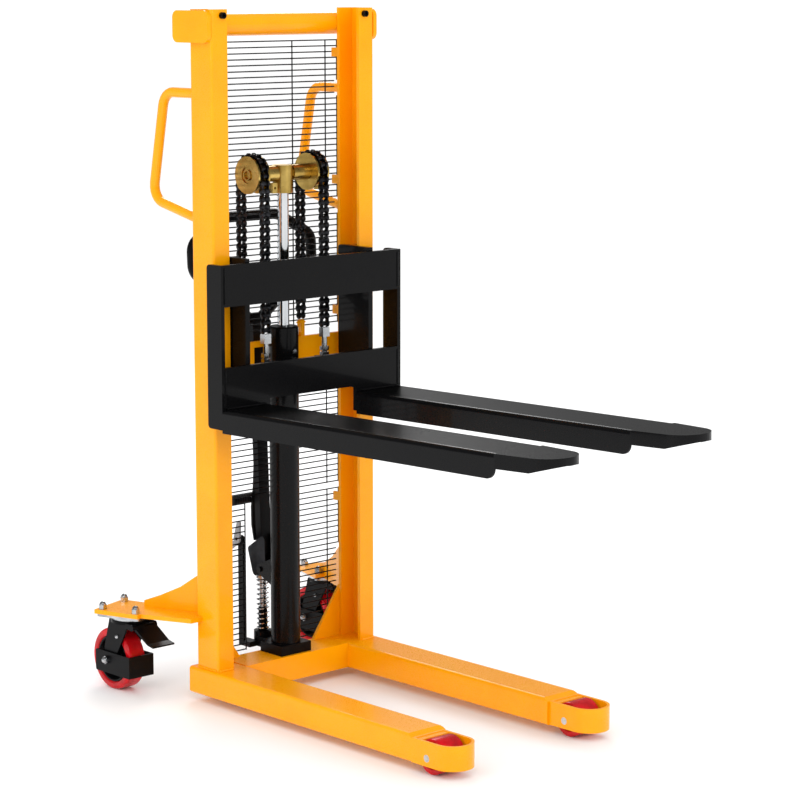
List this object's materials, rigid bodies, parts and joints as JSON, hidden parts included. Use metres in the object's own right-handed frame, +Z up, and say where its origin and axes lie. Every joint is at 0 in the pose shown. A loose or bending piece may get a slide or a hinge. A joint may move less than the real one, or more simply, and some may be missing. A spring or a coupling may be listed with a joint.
{
  "type": "hand pallet stacker",
  "caption": "Manual hydraulic pallet stacker with a channel mast, chain lift, straddling forks, load rollers, swivel casters and a pump handle.",
  "frame": {"origin": "floor level, midway between the fork noses and the rear of the caster wheels, on the centre plane", "axes": "+X to the fork tips, +Y to the left, +Z up"},
  "size_m": [1.5642, 0.8306, 1.735],
  "materials": {
    "yellow_paint": "gloss powder coat",
    "black_paint": "satin powder coat",
    "zinc_yellow": "yellow zinc plate",
    "bright_steel": "zinc plate",
    "chrome_rod": "polished",
    "red_polyurethane": "cast polyurethane",
    "chain_steel": "oiled",
    "grey_paint": "satin",
    "yoke_iron": "dark cast"
  },
  "bodies": {
    "chassis": {"mast_left": "yellow_paint", "mast_right": "yellow_paint", "top_cross_tube": "yellow_paint", "leg_left": "yellow_paint", "leg_right": "yellow_paint", "leg_tip_left": "yellow_paint", "leg_tip_right": "yellow_paint", "roller_axles": "bright_steel", "base_cross_member": "yellow_paint", "mast_gussets": "yellow_paint", "outrigger_left": "yellow_paint", "outrigger_right": "yellow_paint", "grab_handle_left": "yellow_paint", "grab_handle_right": "yellow_paint", "mid_cross_member": "yellow_paint", "mesh_guard_upper": "black_paint", "mesh_guard_lower": "black_paint", "mesh_tabs": "yellow_paint", "stop_bolts": "black_paint", "zinc_fasteners": "bright_steel", "pump_block": "black_paint", "lift_cylinder": "black_paint", "cylinder_gland": "black_paint", "caster_plate_left": "bright_steel", "caster_plate_right": "bright_steel", "rear_chain_strands": "chain_steel"},
    "ram": {"piston_rod": "chrome_rod", "chain_head": "zinc_yellow", "chain_shaft": "zinc_yellow", "chain_wraps": "chain_steel", "front_chain_strands": "chain_steel"},
    "carriage": {"chain_bolts": "bright_steel", "carriage_upper_plate": "black_paint", "carriage_lower_plate": "black_paint", "carriage_side_left": "black_paint", "carriage_side_right": "black_paint", "carriage_post_left": "black_paint", "carriage_post_right": "black_paint", "fork_left": "black_paint", "fork_right": "black_paint"},
    "handle": {"pump_handle": "black_paint", "pump_yoke": "yoke_iron", "foot_pedal": "black_paint"},
    "plunger": {"pump_plunger": "bright_steel", "pump_spring": "bright_steel"},
    "release": {"release_pedal": "grey_paint"},
    "chain_wheel_left": {"chain_wheel_left": "zinc_yellow"},
    "guide_roller_upper_left": {"guide_roller_upper_left": "bright_steel"},
    "guide_roller_lower_left": {"guide_roller_lower_left": "bright_steel"},
    "load_roller_left": {"load_roller_left": "red_polyurethane"},
    "caster_left": {"caster_fork_left": "black_paint"},
    "wheel_left": {"caster_wheel_left": "red_polyurethane"},
    "brake_left": {"brake_pedal_left": "black_paint"},
    "chain_wheel_right": {"chain_wheel_right": "zinc_yellow"},
    "guide_roller_upper_right": {"guide_roller_upper_right": "bright_steel"},
    "guide_roller_lower_right": {"guide_roller_lower_right": "bright_steel"},
    "load_roller_right": {"load_roller_right": "red_polyurethane"},
    "caster_right": {"caster_fork_right": "black_paint"},
    "wheel_right": {"caster_wheel_right": "red_polyurethane"},
    "brake_right": {"brake_pedal_right": "black_paint"}
  },
  "joints": [
    {"name": "ram_lift", "type": "slide", "parent": "chassis", "child": "ram", "axis": [0, 0, 1], "range_m": [-0.334, 0.2663], "deforming": ["rear_chain_strands"]},
    {"name": "carriage_lift", "type": "slide", "parent": "ram", "child": "carriage", "axis": [0, 0, 1], "range_m": [-0.334, 0.2663], "deforming": ["front_chain_strands"]},
    {"name": "chain_wheel_left_spin", "type": "hinge", "parent": "ram", "child": "chain_wheel_left", "pos_m": [-0.43388, 0.097, 1.325], "axis": [0, 1, 0], "continuous": true},
    {"name": "guide_roller_upper_left_spin", "type": "hinge", "parent": "carriage", "child": "guide_roller_upper_left", "pos_m": [-0.42638, 0.235, 1.099], "axis": [0, 1, 0], "continuous": true},
    {"name": "guide_roller_lower_left_spin", "type": "hinge", "parent": "carriage", "child": "guide_roller_lower_left", "pos_m": [-0.42638, 0.235, 0.8], "axis": [0, 1, 0], "continuous": true},
    {"name": "load_roller_left_spin", "type": "hinge", "parent": "chassis", "child": "load_roller_left", "pos_m": [0.39412, 0.2271, 0.0425], "axis": [0, 1, 0], "continuous": true},
    {"name": "caster_left_swivel", "type": "hinge", "parent": "chassis", "child": "caster_left", "pos_m": [-0.65388, 0.335, 0.19], "axis": [0, 0, 1], "continuous": true},
    {"name": "wheel_left_spin", "type": "hinge", "parent": "caster_left", "child": "wheel_left", "pos_m": [-0.70188, 0.335, 0.08], "axis": [0, 1, 0], "continuous": true},
    {"name": "brake_left_press", "type": "hinge", "parent": "caster_left", "child": "brake_left", "pos_m": [-0.59788, 0.335, 0.181], "axis": [0, 1, 0], "range_deg": [0, 14], "stiffness_Nm_per_rad": 3, "springref_deg": -14.32},
    {"name": "chain_wheel_right_spin", "type": "hinge", "parent": "ram", "child": "chain_wheel_right", "pos_m": [-0.43388, -0.097, 1.325], "axis": [0, 1, 0], "continuous": true},
    {"name": "guide_roller_upper_right_spin", "type": "hinge", "parent": "carriage", "child": "guide_roller_upper_right", "pos_m": [-0.42638, -0.235, 1.099], "axis": [0, 1, 0], "continuous": true},
    {"name": "guide_roller_lower_right_spin", "type": "hinge", "parent": "carriage", "child": "guide_roller_lower_right", "pos_m": [-0.42638, -0.235, 0.8], "axis": [0, 1, 0], "continuous": true},
    {"name": "load_roller_right_spin", "type": "hinge", "parent": "chassis", "child": "load_roller_right", "pos_m": [0.39412, -0.2271, 0.0425], "axis": [0, 1, 0], "continuous": true},
    {"name": "caster_right_swivel", "type": "hinge", "parent": "chassis", "child": "caster_right", "pos_m": [-0.65388, -0.335, 0.19], "axis": [0, 0, 1], "continuous": true},
    {"name": "wheel_right_spin", "type": "hinge", "parent": "caster_right", "child": "wheel_right", "pos_m": [-0.70188, -0.335, 0.08], "axis": [0, 1, 0], "continuous": true},
    {"name": "brake_right_press", "type": "hinge", "parent": "caster_right", "child": "brake_right", "pos_m": [-0.59788, -0.335, 0.181], "axis": [0, 1, 0], "range_deg": [0, 14], "stiffness_Nm_per_rad": 3, "springref_deg": -14.32},
    {"name": "handle_pump", "type": "hinge", "parent": "chassis", "child": "handle", "pos_m": [-0.49988, 0, 0.2983], "axis": [0, -1, 0], "range_deg": [0, 40], "stiffness_Nm_per_rad": 20, "springref_deg": -51.57},
    {"name": "plunger_press", "type": "slide", "parent": "chassis", "child": "plunger", "axis": [0, 0, -1], "range_m": [0, 0.0185], "deforming": ["pump_spring"]},
    {"name": "release_press", "type": "hinge", "parent": "chassis", "child": "release", "pos_m": [-0.55588, -0.062, 0.3743], "axis": [0, -1, 0], "range_deg": [0, 12], "stiffness_Nm_per_rad": 2, "springref_deg": -17.19}
  ],
  "couplings": [
    {"joint": "carriage_lift", "follows": "ram_lift", "ratio": 1},
    {"joint": "chain_wheel_left_spin", "follows": "ram_lift", "rad_per_m": 21.828},
    {"joint": "chain_wheel_right_spin", "follows": "ram_lift", "rad_per_m": 21.828},
    {"joint": "plunger_press", "follows": "handle_pump", "m_per_rad": 0.026}
  ]
}
